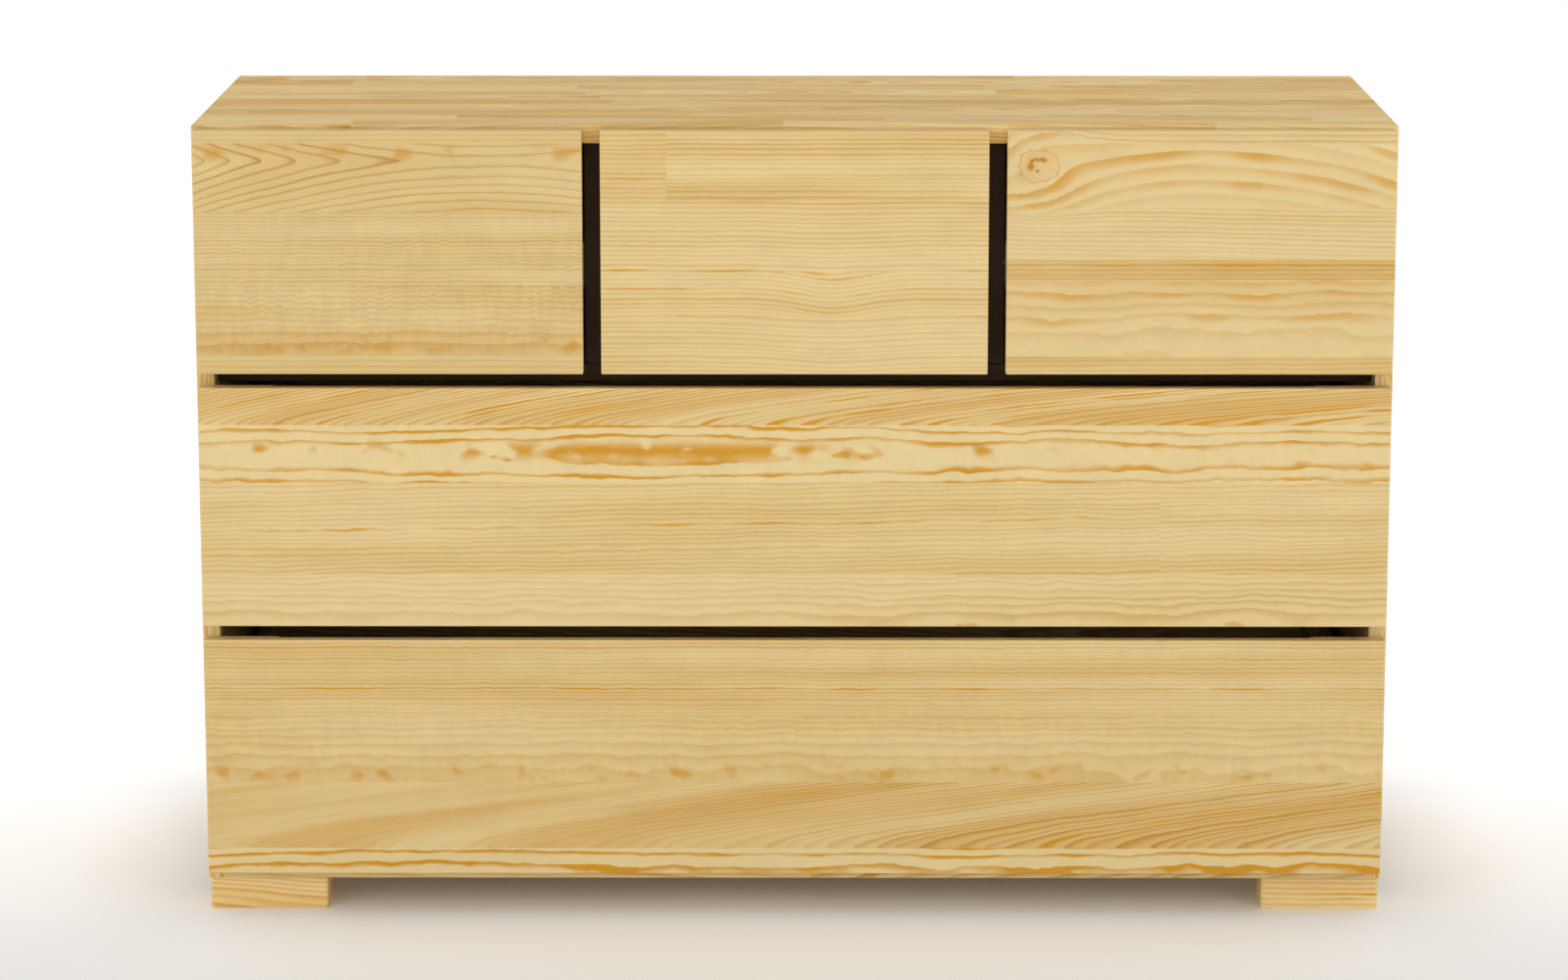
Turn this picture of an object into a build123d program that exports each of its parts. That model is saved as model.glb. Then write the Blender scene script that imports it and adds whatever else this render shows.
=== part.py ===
from build123d import *
import os

# Low pine chest of drawers: three small drawers in the upper row, two full-width drawers below.
# Millimetres. Origin on the floor at the middle of the footprint, +X to the right seen from the
# front, -Y out of the front, +Z up.

# Overall size
WIDTH = 1200
DEPTH = 450
HEIGHT = 810
FOOT_HEIGHT = 35

# Boards
BOARD = 18
BOX_BOARD = 14
BOX_BOTTOM = 6
BACK_BOARD = 4
EASE = 1.5
BOX_EASE = 1.0

# Fronts lie over the carcass edges, with shadow gaps between them that serve as finger grips
ROWS = 3
COLUMNS = 3
CLOSING_GAP = 2
FRONT_INSET = 3
FRONT_FOOT_MARGIN = 10.5
ROW_GAP = 14
COLUMN_GAP = 18
GRIP_LENGTH = 1040
GRIP_RUN_OUT = 7
GRIP_DEPTH = 6
GRIP_HEIGHT = 20

# Drawer boxes
BOX_RISE = 16
BOX_HEIGHT = 180
BOX_REAR_GAP = 10
HOUSING_DEPTH = 6
GROOVE_DEPTH = 6
GROOVE_SLACK = 0.2
PANEL_SLACK = 0.5
BOX_GROOVE_RISE = 10

# Inner boards stand back behind the fronts, so that fingers reach behind a front's edge
INNER_SET_BACK = 30
BACK_GROOVE_INSET = 12

# Ball-bearing runners, 45 mm high and 12.7 mm thick with the three members nested
RUNNER_LENGTH = 400
RUNNER_WIDTH = 12.7
RUNNER_SHEET = 1.2
RUNNER_FRONT_GAP = 2
LIP = 3
INNER_LIP = 2.4
SLOTS = 4
SLOT_MARGIN = 75
SLOT_LENGTH = 18
SLOT_HEIGHT = 5

# Section of each member: web, far edge (both from the wall), half height and lip height
RUNNER_MEMBERS = {
    "outer": (0, 10, 22.5, LIP),
    "middle": (3.2, 11, 19, LIP),
    "inner": (RUNNER_WIDTH, 6, 15.4, INNER_LIP),
}

# Feet: flat blocks at the corners
FOOT_WIDTH = 120
FOOT_DEPTH = 60
FOOT_SIDE_INSET = 1
FOOT_END_INSET = 10
FOOT_EASE = 3

# Fasteners
DOWEL_RADIUS = 4
DOWEL_IN_FACE = 12
DOWEL_IN_END = 22
DOWEL_END_ROOM = 0.5
DOWEL_CHAMFER = 1
OUTER_DOWELS = 4
OUTER_DOWEL_MARGIN = 80
INNER_DOWELS = 3
INNER_DOWEL_MARGIN = 40
FIT = 0.05
SCREW_RADIUS = 1.75
SCREW_HEAD_RADIUS = 3.5
SCREW_TIP = 3
PAN_HEAD = 1.4
SUNK_HEAD = 2
CROSS_LENGTH = 4
CROSS_WIDTH = 0.8
CROSS_DEPTH = 0.9
RUNNER_SCREW = 15
RUNNER_SCREWS = 3
RUNNER_SCREW_MARGIN = 30
BOX_RUNNER_SCREW = 12
BOX_RUNNER_SCREW_MARGIN = 45
BOX_SCREW = 35
BOX_SCREWS = 2
BOX_SCREW_MARGIN = 30
SCREW_STAGGER = 14
FOOT_SCREW = 35
FOOT_SCREW_RADIUS = 2
FOOT_SCREW_HEAD_RADIUS = 4
FOOT_SCREW_SPREAD = 50
FOOT_COUNTERBORE = 14
FOOT_COUNTERBORE_RADIUS = 5

# Places worked out from the sizes above
SIDE_X = WIDTH / 2
INNER_X = SIDE_X - BOARD
FRONT_Y = -DEPTH / 2
FRONT_REAR_Y = FRONT_Y + BOARD
CARCASS_Y = FRONT_REAR_Y + CLOSING_GAP
REAR_Y = DEPTH / 2
INNER_Y = CARCASS_Y + INNER_SET_BACK
BACK_Y = REAR_Y - BACK_GROOVE_INSET - BACK_BOARD
BACK_GROOVE_Y = (BACK_Y, BACK_Y + BACK_BOARD + GROOVE_SLACK)
BOX_REAR_Y = BACK_Y - BOX_REAR_GAP
FLOOR_Z = FOOT_HEIGHT + BOARD
CEILING_Z = HEIGHT - BOARD
FRONT_TOP = HEIGHT - FRONT_INSET
FRONT_BOTTOM = FOOT_HEIGHT + FRONT_FOOT_MARGIN
FRONT_HEIGHT = (FRONT_TOP - FRONT_BOTTOM - (ROWS - 1) * ROW_GAP) / ROWS
ROW_STEP = FRONT_HEIGHT + ROW_GAP
UPPER_ROW_Z = FRONT_BOTTOM + (ROWS - 1) * ROW_STEP
DIVIDER_Z = UPPER_ROW_Z - ROW_GAP / 2
FRONT_X = SIDE_X - FRONT_INSET
COLUMN_WIDTH = (2 * FRONT_X - (COLUMNS - 1) * COLUMN_GAP) / COLUMNS
PARTITION_X = COLUMN_WIDTH / 2 + COLUMN_GAP / 2
RUNNER_Y = CARCASS_Y + RUNNER_FRONT_GAP

# Each drawer: its front's left and right edges, its bay's left and right walls, its row's height
COLUMN_IN = PARTITION_X - COLUMN_GAP / 2
COLUMN_OUT = PARTITION_X + COLUMN_GAP / 2
WALL_IN = PARTITION_X - BOARD / 2
WALL_OUT = PARTITION_X + BOARD / 2
DRAWERS = {
    "upper_left": ((-FRONT_X, -COLUMN_OUT), (-INNER_X, -WALL_OUT), UPPER_ROW_Z),
    "upper_centre": ((-COLUMN_IN, COLUMN_IN), (-WALL_IN, WALL_IN), UPPER_ROW_Z),
    "upper_right": ((COLUMN_OUT, FRONT_X), (WALL_OUT, INNER_X), UPPER_ROW_Z),
    "middle": ((-FRONT_X, FRONT_X), (-INNER_X, INNER_X), FRONT_BOTTOM + ROW_STEP),
    "lower": ((-FRONT_X, FRONT_X), (-INNER_X, INNER_X), FRONT_BOTTOM),
}


def block(x, y, z):
    """A plain box between the low and high values of each axis."""
    centre = ((x[0] + x[1]) / 2, (y[0] + y[1]) / 2, (z[0] + z[1]) / 2)
    return Pos(*centre) * Box(x[1] - x[0], y[1] - y[0], z[1] - z[0])


def board(x, y, z, ease=EASE):
    """A board with all its edges eased."""
    plain = block(x, y, z)
    return fillet(plain.edges(), ease)


def spread(low, high, count, margin):
    """Evenly spaced values between two ends, kept a margin away from both."""
    step = (high - low - 2 * margin) / (count - 1)
    return [low + margin + i * step for i in range(count)]


# ---------------------------------------------------------------- fasteners

def screw(length, radius, head_radius, head, sunk):
    """A cross-head wood screw along -Z. A sunk head ends flush at z = 0, a pan head stands on it."""
    top = 0 if sunk else head
    seat = -head if sunk else 0
    points = [(0, top), (head_radius, top)]
    if not sunk:
        points.append((head_radius, seat))
    points += [(radius, seat), (radius, SCREW_TIP - length), (0, -length), (0, top)]
    body = revolve(make_face(Plane.XZ * Polyline(*points)), Axis.Z)
    for size in ((CROSS_LENGTH, CROSS_WIDTH), (CROSS_WIDTH, CROSS_LENGTH)):
        slot = Box(size[0], size[1], CROSS_DEPTH, align=(Align.CENTER, Align.CENTER, Align.MAX))
        body = body - Pos(0, 0, top) * slot
    return body


def screw_hole(length, radius, head_radius=0, head=0):
    """The cutter for a screw along -Z from z = 0, with a countersink where a head size is given."""
    hole = Cylinder(radius + FIT, length + FIT, align=(Align.CENTER, Align.CENTER, Align.MAX))
    if head:
        hole = hole + Pos(0, 0, -head / 2) * Cone(radius + FIT, head_radius + FIT, head)
    return hole


def at(point, out):
    """The place of a fastener whose head faces along out."""
    return Plane(origin=point, z_dir=out).location


def dowel(point, into_face):
    """A chamfered dowel whose shorter part goes along into_face from the joint at point."""
    length = DOWEL_IN_FACE + DOWEL_IN_END
    pin = Pos(0, 0, (DOWEL_IN_FACE - DOWEL_IN_END) / 2) * Cylinder(DOWEL_RADIUS, length)
    return at(point, into_face) * chamfer(pin.edges().filter_by(GeomType.CIRCLE), DOWEL_CHAMFER)


def dowel_hole(point, into_face):
    """The cutter for a dowel in both of its boards."""
    length = DOWEL_IN_FACE + DOWEL_IN_END + 2 * DOWEL_END_ROOM
    hole = Pos(0, 0, (DOWEL_IN_FACE - DOWEL_IN_END) / 2) * Cylinder(DOWEL_RADIUS + FIT, length)
    return at(point, into_face) * hole


def dowel_places():
    """Each dowelled joint of the carcass: its places, as a point and the way into the face board."""
    outer_y = spread(CARCASS_Y, REAR_Y, OUTER_DOWELS, OUTER_DOWEL_MARGIN)
    inner_y = spread(INNER_Y, BACK_Y, INNER_DOWELS, INNER_DOWEL_MARGIN)
    joints = {}
    for side, sign in (("left", -1), ("right", 1)):
        wall = sign * INNER_X
        top_x = sign * (SIDE_X - BOARD / 2)
        rise = (0, 0, 1)
        fall = (0, 0, -1)
        out = (sign, 0, 0)
        joints["side_top_" + side] = [((top_x, y, CEILING_Z), rise) for y in outer_y]
        joints["side_bottom_" + side] = [((wall, y, FLOOR_Z - BOARD / 2), out) for y in outer_y]
        joints["side_divider_" + side] = [((wall, y, DIVIDER_Z), out) for y in inner_y]
        post = sign * PARTITION_X
        joints["post_top_" + side] = [((post, y, CEILING_Z), rise) for y in inner_y]
        joints["post_divider_" + side] = [((post, y, DIVIDER_Z + BOARD / 2), fall) for y in inner_y]
    return joints


DOWELS = dowel_places()


def drilled(solid, joint_names):
    """The board with the dowel holes of the named joints."""
    for name in joint_names:
        for point, into_face in DOWELS[name]:
            solid = solid - dowel_hole(point, into_face)
    return solid


# ---------------------------------------------------------------- runners

def runner_screws(wall_x, out, box_z):
    """Where a runner's outer member is screwed to its wall. Opposite walls are staggered."""
    shift = SCREW_STAGGER if out < 0 else 0
    z = box_z + BOX_HEIGHT / 2
    places = spread(RUNNER_Y, RUNNER_Y + RUNNER_LENGTH, RUNNER_SCREWS, RUNNER_SCREW_MARGIN)
    return [((wall_x + out * RUNNER_SHEET, y + shift, z), (out, 0, 0)) for y in places]


def channel(near, far, half_height, lip):
    """One member's section in the XZ plane: a web at near, two flanges, and lips at far."""
    step = RUNNER_SHEET if far > near else -RUNNER_SHEET
    section = Pos(near + step / 2, 0) * Rectangle(RUNNER_SHEET, 2 * half_height)
    for sign in (-1, 1):
        flange_z = sign * (half_height - RUNNER_SHEET / 2)
        section = section + Pos((near + far) / 2, flange_z) * Rectangle(abs(far - near), RUNNER_SHEET)
        lip_z = sign * (half_height - lip / 2)
        section = section + Pos(far - step / 2, lip_z) * Rectangle(RUNNER_SHEET, lip)
    return section


def runner_member(member, wall_x, out, box_z):
    """A member of the runner on a wall whose free side faces along out, which is -1 or 1."""
    near, far, half_height, lip = RUNNER_MEMBERS[member]
    section = channel(near, far, half_height, lip)
    # The section plane's own X runs from the wall into the bay, and its normal lies along Y
    place = Plane(origin=(wall_x, RUNNER_Y, box_z + BOX_HEIGHT / 2), x_dir=(out, 0, 0), z_dir=(0, -out, 0))
    body = extrude(place * section, amount=-out * RUNNER_LENGTH)
    for slot in web_slots(wall_x + out * near, box_z):
        body = body - slot
    return body


def web_slots(web_x, box_z):
    """Cutters for the slots stamped through a member's web at web_x."""
    outline = Plane.YZ * SlotOverall(SLOT_LENGTH, SLOT_HEIGHT)
    slot = extrude(outline, amount=2 * RUNNER_SHEET, both=True)
    places = spread(RUNNER_Y, RUNNER_Y + RUNNER_LENGTH, SLOTS, SLOT_MARGIN)
    return [Pos(web_x, y, box_z + BOX_HEIGHT / 2) * slot for y in places]


def runner_pair(member, walls, box_z):
    """The left and right runners' members of one drawer, as two solids."""
    left = runner_member(member, walls[0], 1, box_z)
    right = runner_member(member, walls[1], -1, box_z)
    if member == "outer":
        for point, out in runner_screws(walls[0], 1, box_z):
            left = left - at(point, out) * screw_hole(RUNNER_SCREW, SCREW_RADIUS)
        for point, out in runner_screws(walls[1], -1, box_z):
            right = right - at(point, out) * screw_hole(RUNNER_SCREW, SCREW_RADIUS)
    return left, right


# ---------------------------------------------------------------- carcass

def carcass_side(side, sign):
    """An end panel, grooved for the back and drilled for dowels and runner screws."""
    x = sorted((sign * INNER_X, sign * SIDE_X))
    panel = board(x, (CARCASS_Y, REAR_Y), (FOOT_HEIGHT, CEILING_Z))
    groove_x = sorted((sign * INNER_X, sign * (INNER_X + GROOVE_DEPTH)))
    panel = panel - block(groove_x, BACK_GROOVE_Y, (FLOOR_Z - GROOVE_DEPTH, CEILING_Z))
    names = ["side_top_", "side_bottom_", "side_divider_"]
    panel = drilled(panel, [name + side for name in names])
    return runner_holes(panel, sign * INNER_X, -sign)


def runner_holes(panel, wall_x, out):
    """Pilot holes for the runners that stand on this wall."""
    rows = {box[2] + BOX_RISE for box in DRAWERS.values() if wall_x in box[1]}
    for box_z in sorted(rows):
        for point, facing in runner_screws(wall_x, out, box_z):
            panel = panel - at(point, facing) * screw_hole(RUNNER_SCREW, SCREW_RADIUS)
    return panel


def top_panel():
    """The top, which covers the upper ends of the side panels."""
    panel = board((-SIDE_X, SIDE_X), (CARCASS_Y, REAR_Y), (CEILING_Z, HEIGHT))
    reach = INNER_X + GROOVE_DEPTH
    panel = panel - block((-reach, reach), BACK_GROOVE_Y, (CEILING_Z, CEILING_Z + GROOVE_DEPTH))
    return drilled(panel, ["side_top_left", "side_top_right", "post_top_left", "post_top_right"])


def bottom_panel():
    """The carcass floor between the side panels, with the foot screws' pilot holes."""
    panel = board((-INNER_X, INNER_X), (CARCASS_Y, REAR_Y), (FOOT_HEIGHT, FLOOR_Z))
    panel = panel - block((-INNER_X, INNER_X), BACK_GROOVE_Y, (FLOOR_Z - GROOVE_DEPTH, FLOOR_Z))
    for point in foot_screw_points():
        panel = panel - at(point, (0, 0, -1)) * screw_hole(FOOT_SCREW, FOOT_SCREW_RADIUS)
    return drilled(panel, ["side_bottom_left", "side_bottom_right"])


def divider_shelf():
    """The shelf between the upper row and the drawers below."""
    z = (DIVIDER_Z - BOARD / 2, DIVIDER_Z + BOARD / 2)
    shelf = board((-INNER_X, INNER_X), (INNER_Y, BACK_Y), z)
    names = ["side_divider_left", "side_divider_right", "post_divider_left", "post_divider_right"]
    return drilled(shelf, names)


def partition(side, sign):
    """An upright board between two upper drawers, behind the gap between their fronts."""
    x = (sign * PARTITION_X - BOARD / 2, sign * PARTITION_X + BOARD / 2)
    post = board(x, (INNER_Y, BACK_Y), (DIVIDER_Z + BOARD / 2, CEILING_Z))
    post = drilled(post, ["post_top_" + side, "post_divider_" + side])
    post = runner_holes(post, x[0], -1)
    return runner_holes(post, x[1], 1)


def back_panel():
    """The thin back, which stands in grooves all round."""
    reach = INNER_X + GROOVE_DEPTH - PANEL_SLACK
    y = (BACK_Y + GROOVE_SLACK / 2, BACK_Y + GROOVE_SLACK / 2 + BACK_BOARD)
    z = (FLOOR_Z - GROOVE_DEPTH, CEILING_Z + GROOVE_DEPTH - PANEL_SLACK)
    return block((-reach, reach), y, z)


def foot_boxes():
    """Each foot's name with its extent along X and Y."""
    feet = {}
    for end, y_out, inwards in (("front", CARCASS_Y, 1), ("rear", REAR_Y, -1)):
        y = sorted((y_out + inwards * FOOT_END_INSET, y_out + inwards * (FOOT_END_INSET + FOOT_DEPTH)))
        for side, sign in (("left", -1), ("right", 1)):
            outer = SIDE_X - FOOT_SIDE_INSET
            feet["foot_" + end + "_" + side] = (sorted((sign * outer, sign * (outer - FOOT_WIDTH))), y)
    return feet


def foot_screw_points():
    """Two screws up through each foot, their heads in counterbores."""
    points = []
    for x, y in foot_boxes().values():
        for shift in (-FOOT_SCREW_SPREAD / 2, FOOT_SCREW_SPREAD / 2):
            points.append(((x[0] + x[1]) / 2 + shift, (y[0] + y[1]) / 2, FOOT_COUNTERBORE))
    return points


def foot(x, y):
    """A flat block with rounded upright corners, drilled and counterbored for two screws."""
    body = block(x, y, (0, FOOT_HEIGHT))
    body = fillet(body.edges().filter_by(Axis.Z), FOOT_EASE)
    body = fillet(body.faces().filter_by(Axis.Z).edges(), BOX_EASE)
    for point in foot_screw_points():
        body = body - at(point, (0, 0, -1)) * screw_hole(FOOT_SCREW, FOOT_SCREW_RADIUS)
        counterbore = Cylinder(FOOT_COUNTERBORE_RADIUS, FOOT_COUNTERBORE)
        body = body - Pos(point[0], point[1], FOOT_COUNTERBORE / 2) * counterbore
    return body


# ---------------------------------------------------------------- drawers

def box_walls(bay):
    """The outer faces of a drawer's box sides, one runner's width in from each wall."""
    return bay[0] + RUNNER_WIDTH, bay[1] - RUNNER_WIDTH


def grip_cut(x, top):
    """The finger rebate along the top of a full-width front's rear face, run out at both ends."""
    half = GRIP_LENGTH / 2
    face = FRONT_REAR_Y
    deep = face - GRIP_DEPTH
    outline = Polyline((-half, deep), (half, deep), (half + GRIP_RUN_OUT, face))
    outline = outline + Polyline((half + GRIP_RUN_OUT, face), (-half - GRIP_RUN_OUT, face), (-half, deep))
    middle_x = (x[0] + x[1]) / 2
    return Pos(middle_x, 0, top - GRIP_HEIGHT) * extrude(make_face(outline), amount=GRIP_HEIGHT)


def drawer_front(front, bay, row_z):
    """An overlay front, housed and grooved behind for its box."""
    panel = board(front, (FRONT_Y, FRONT_REAR_Y), (row_z, row_z + FRONT_HEIGHT))
    walls = box_walls(bay)
    box_z = row_z + BOX_RISE
    cut_y = (FRONT_REAR_Y - HOUSING_DEPTH, FRONT_REAR_Y)
    for x in ((walls[0], walls[0] + BOX_BOARD), (walls[1] - BOX_BOARD, walls[1])):
        panel = panel - block(x, cut_y, (box_z, box_z + BOX_HEIGHT))
    inside = (walls[0] + BOX_BOARD, walls[1] - BOX_BOARD)
    panel = panel - block(inside, cut_y, groove_z(box_z))
    if front[1] - front[0] > GRIP_LENGTH:
        panel = panel - grip_cut(front, row_z + FRONT_HEIGHT)
    return panel


def groove_z(box_z):
    """The height of the groove that holds a drawer's bottom."""
    return box_z + BOX_GROOVE_RISE, box_z + BOX_GROOVE_RISE + BOX_BOTTOM + GROOVE_SLACK


def box_side(wall_x, inwards, box_z):
    """A drawer's box side, with its outer face at wall_x, grooved inside for the bottom."""
    inner_x = wall_x + inwards * BOX_BOARD
    y = (FRONT_REAR_Y - HOUSING_DEPTH, BOX_REAR_Y)
    side = board(sorted((wall_x, inner_x)), y, (box_z, box_z + BOX_HEIGHT), BOX_EASE)
    groove_x = sorted((inner_x, inner_x - inwards * GROOVE_DEPTH))
    groove_y = (y[0], BOX_REAR_Y - BOX_BOARD + GROOVE_DEPTH)
    side = side - block(groove_x, groove_y, groove_z(box_z))
    for point, out in box_screws(wall_x, -inwards, box_z):
        side = side - at(point, out) * screw_hole(BOX_SCREW, SCREW_RADIUS, SCREW_HEAD_RADIUS, SUNK_HEAD)
    for point, out in box_runner_screws(wall_x, -inwards, box_z):
        side = side - at(point, out) * screw_hole(BOX_RUNNER_SCREW, SCREW_RADIUS)
    return side


def box_back(walls, box_z):
    """A drawer's back, between its sides."""
    inside = (walls[0] + BOX_BOARD, walls[1] - BOX_BOARD)
    y = (BOX_REAR_Y - BOX_BOARD, BOX_REAR_Y)
    back = board(inside, y, (box_z, box_z + BOX_HEIGHT), BOX_EASE)
    back = back - block(inside, (y[0], y[0] + GROOVE_DEPTH), groove_z(box_z))
    for wall_x, out_sign in ((walls[0], -1), (walls[1], 1)):
        for point, out in box_screws(wall_x, out_sign, box_z):
            back = back - at(point, out) * screw_hole(BOX_SCREW, SCREW_RADIUS)
    return back


def box_bottom(walls, box_z):
    """A drawer's plywood bottom, in grooves on all four sides."""
    reach = GROOVE_DEPTH - PANEL_SLACK
    x = (walls[0] + BOX_BOARD - reach, walls[1] - BOX_BOARD + reach)
    y = (FRONT_REAR_Y - reach, BOX_REAR_Y - BOX_BOARD + reach)
    z = groove_z(box_z)[0]
    return block(x, y, (z, z + BOX_BOTTOM))


def box_screws(wall_x, out_sign, box_z):
    """Countersunk screws through a box side into the end of the drawer's back."""
    y = BOX_REAR_Y - BOX_BOARD / 2
    heights = spread(box_z, box_z + BOX_HEIGHT, BOX_SCREWS, BOX_SCREW_MARGIN)
    return [((wall_x, y, z), (out_sign, 0, 0)) for z in heights]


def box_runner_screws(wall_x, out_sign, box_z):
    """Pan-head screws that hold the runner's inner member on a box side."""
    seat_x = wall_x + out_sign * RUNNER_SHEET
    z = box_z + BOX_HEIGHT / 2
    places = spread(RUNNER_Y, RUNNER_Y + RUNNER_LENGTH, RUNNER_SCREWS, BOX_RUNNER_SCREW_MARGIN)
    return [((seat_x, y, z), (out_sign, 0, 0)) for y in places]


def drawer_screws(walls, box_z):
    """All the screws of one drawer."""
    sunk = screw(BOX_SCREW, SCREW_RADIUS, SCREW_HEAD_RADIUS, SUNK_HEAD, True)
    pan = screw(BOX_RUNNER_SCREW, SCREW_RADIUS, SCREW_HEAD_RADIUS, PAN_HEAD, False)
    screws = []
    for wall_x, out_sign in ((walls[0], -1), (walls[1], 1)):
        screws += [at(point, out) * sunk for point, out in box_screws(wall_x, out_sign, box_z)]
        screws += [at(point, out) * pan for point, out in box_runner_screws(wall_x, out_sign, box_z)]
    return screws


def drawer(name, front, bay, row_z):
    """Every piece of one drawer, with its runners' members."""
    box_z = row_z + BOX_RISE
    walls = box_walls(bay)
    outer = runner_pair("outer", bay, box_z)
    middle = runner_pair("middle", bay, box_z)
    inner = list(runner_pair("inner", bay, box_z))
    for index, (wall_x, out_sign) in enumerate(((walls[0], -1), (walls[1], 1))):
        for point, out in box_runner_screws(wall_x, out_sign, box_z):
            inner[index] = inner[index] - at(point, out) * screw_hole(BOX_RUNNER_SCREW, SCREW_RADIUS)
    return {
        name + "_drawer_front": [drawer_front(front, bay, row_z)],
        name + "_drawer_side_left": [box_side(walls[0], 1, box_z)],
        name + "_drawer_side_right": [box_side(walls[1], -1, box_z)],
        name + "_drawer_back": [box_back(walls, box_z)],
        name + "_drawer_bottom": [box_bottom(walls, box_z)],
        name + "_drawer_screws": drawer_screws(walls, box_z),
        name + "_runner_outer": list(outer),
        name + "_runner_middle": list(middle),
        name + "_runner_inner": inner,
    }


# ---------------------------------------------------------------- assembly

def carcass_runner_screws():
    """The screws that hold all outer members on their walls."""
    pan = screw(RUNNER_SCREW, SCREW_RADIUS, SCREW_HEAD_RADIUS, PAN_HEAD, False)
    screws = []
    for _, bay, row_z in DRAWERS.values():
        for wall_x, out_sign in ((bay[0], 1), (bay[1], -1)):
            places = runner_screws(wall_x, out_sign, row_z + BOX_RISE)
            screws += [at(point, out) * pan for point, out in places]
    return screws


def foot_screws():
    """The screws that hold the feet under the carcass."""
    one = screw(FOOT_SCREW, FOOT_SCREW_RADIUS, FOOT_SCREW_HEAD_RADIUS, PAN_HEAD, False)
    return [at(point, (0, 0, -1)) * one for point in foot_screw_points()]


def all_nodes():
    """Every node's name with its solids."""
    nodes = {
        "carcass_side_left": [carcass_side("left", -1)],
        "carcass_side_right": [carcass_side("right", 1)],
        "top_panel": [top_panel()],
        "bottom_panel": [bottom_panel()],
        "divider_shelf": [divider_shelf()],
        "partition_left": [partition("left", -1)],
        "partition_right": [partition("right", 1)],
        "back_panel": [back_panel()],
        "carcass_dowels": [dowel(point, way) for places in DOWELS.values() for point, way in places],
        "runner_screws": carcass_runner_screws(),
        "foot_screws": foot_screws(),
    }
    for name, (x, y) in foot_boxes().items():
        nodes[name] = [foot(x, y)]
    for name, (front, bay, row_z) in DRAWERS.items():
        nodes.update(drawer(name, front, bay, row_z))
    return nodes


os.makedirs("parts", exist_ok=True)
for node, solids in all_nodes().items():
    shape = solids[0] if len(solids) == 1 else Compound(children=solids)
    shape.label = node
    export_step(shape, "parts/" + node + ".step")
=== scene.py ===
import bpy
import math
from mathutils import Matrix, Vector


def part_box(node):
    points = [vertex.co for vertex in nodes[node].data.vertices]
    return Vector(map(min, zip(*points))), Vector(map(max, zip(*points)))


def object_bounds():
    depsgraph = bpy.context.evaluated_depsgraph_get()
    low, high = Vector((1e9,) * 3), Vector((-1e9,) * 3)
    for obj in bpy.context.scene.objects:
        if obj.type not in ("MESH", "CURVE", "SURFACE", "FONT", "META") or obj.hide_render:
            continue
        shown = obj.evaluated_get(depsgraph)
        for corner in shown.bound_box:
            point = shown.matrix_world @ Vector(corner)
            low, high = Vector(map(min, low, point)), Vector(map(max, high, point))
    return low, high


# Looks of a pine chest of drawers: lacquered pine on the fronts and sides, sanded pine on the top
# and inside, plywood on the back and the drawer bottoms, zinc-plated runners and screws, and a
# pale studio floor.

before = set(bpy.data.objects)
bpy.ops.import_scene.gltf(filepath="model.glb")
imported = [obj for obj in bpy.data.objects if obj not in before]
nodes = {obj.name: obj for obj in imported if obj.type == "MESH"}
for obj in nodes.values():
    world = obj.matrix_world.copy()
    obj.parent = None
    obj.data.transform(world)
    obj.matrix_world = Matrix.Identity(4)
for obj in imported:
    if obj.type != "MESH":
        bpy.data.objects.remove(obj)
cad_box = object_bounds()
MM = 1000.0


# ---------------------------------------------------------------- shader arithmetic

class Term:
    """A node's output that takes part in ordinary arithmetic by adding math nodes to its tree."""

    def __init__(self, tree, socket):
        self.tree = tree
        self.socket = socket

    def math(self, operation, *others):
        """This term and the others through one Math node."""
        node = self.tree.nodes.new("ShaderNodeMath")
        node.operation = operation
        for slot, value in zip(node.inputs, (self, *others)):
            plug(self.tree, slot, value)
        return Term(self.tree, node.outputs[0])

    def __add__(self, other):
        return self.math("ADD", other)

    def __sub__(self, other):
        return self.math("SUBTRACT", other)

    def __mul__(self, other):
        return self.math("MULTIPLY", other)

    def __truediv__(self, other):
        return self.math("DIVIDE", other)

    def above(self, edge):
        """1 where the term is above the edge and 0 elsewhere."""
        return self.math("GREATER_THAN", edge)

    def power(self, exponent):
        return self.math("POWER", exponent)

    def floor(self):
        return self.math("FLOOR")

    def fraction(self):
        return self.math("FRACT")

    def least(self, other):
        return self.math("MINIMUM", other)

    def most(self, other):
        return self.math("MAXIMUM", other)

    def rise(self, start, end):
        """A smooth step from 0 at start to 1 at end."""
        node = self.tree.nodes.new("ShaderNodeMapRange")
        node.interpolation_type = "SMOOTHSTEP"
        plug(self.tree, node.inputs["Value"], self)
        plug(self.tree, node.inputs["From Min"], start)
        plug(self.tree, node.inputs["From Max"], end)
        return Term(self.tree, node.outputs["Result"])


def plug(tree, socket, value):
    """Links a term to a socket, or sets the socket to a plain value."""
    if isinstance(value, Term):
        tree.links.new(value.socket, socket)
    else:
        socket.default_value = value


def vector(x, y, z):
    """Three terms as one vector."""
    tree = next(v.tree for v in (x, y, z) if isinstance(v, Term))
    node = tree.nodes.new("ShaderNodeCombineXYZ")
    for socket, value in zip(node.inputs, (x, y, z)):
        plug(tree, socket, value)
    return Term(tree, node.outputs[0])


def noise(place, detail=2.0, roughness=0.5):
    """Smooth noise from 0 to 1 at a place whose unit is one noise cell."""
    node = place.tree.nodes.new("ShaderNodeTexNoise")
    plug(place.tree, node.inputs["Vector"], place)
    node.inputs["Scale"].default_value = 1.0
    node.inputs["Detail"].default_value = detail
    node.inputs["Roughness"].default_value = roughness
    return Term(place.tree, node.outputs["Fac"])


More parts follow.
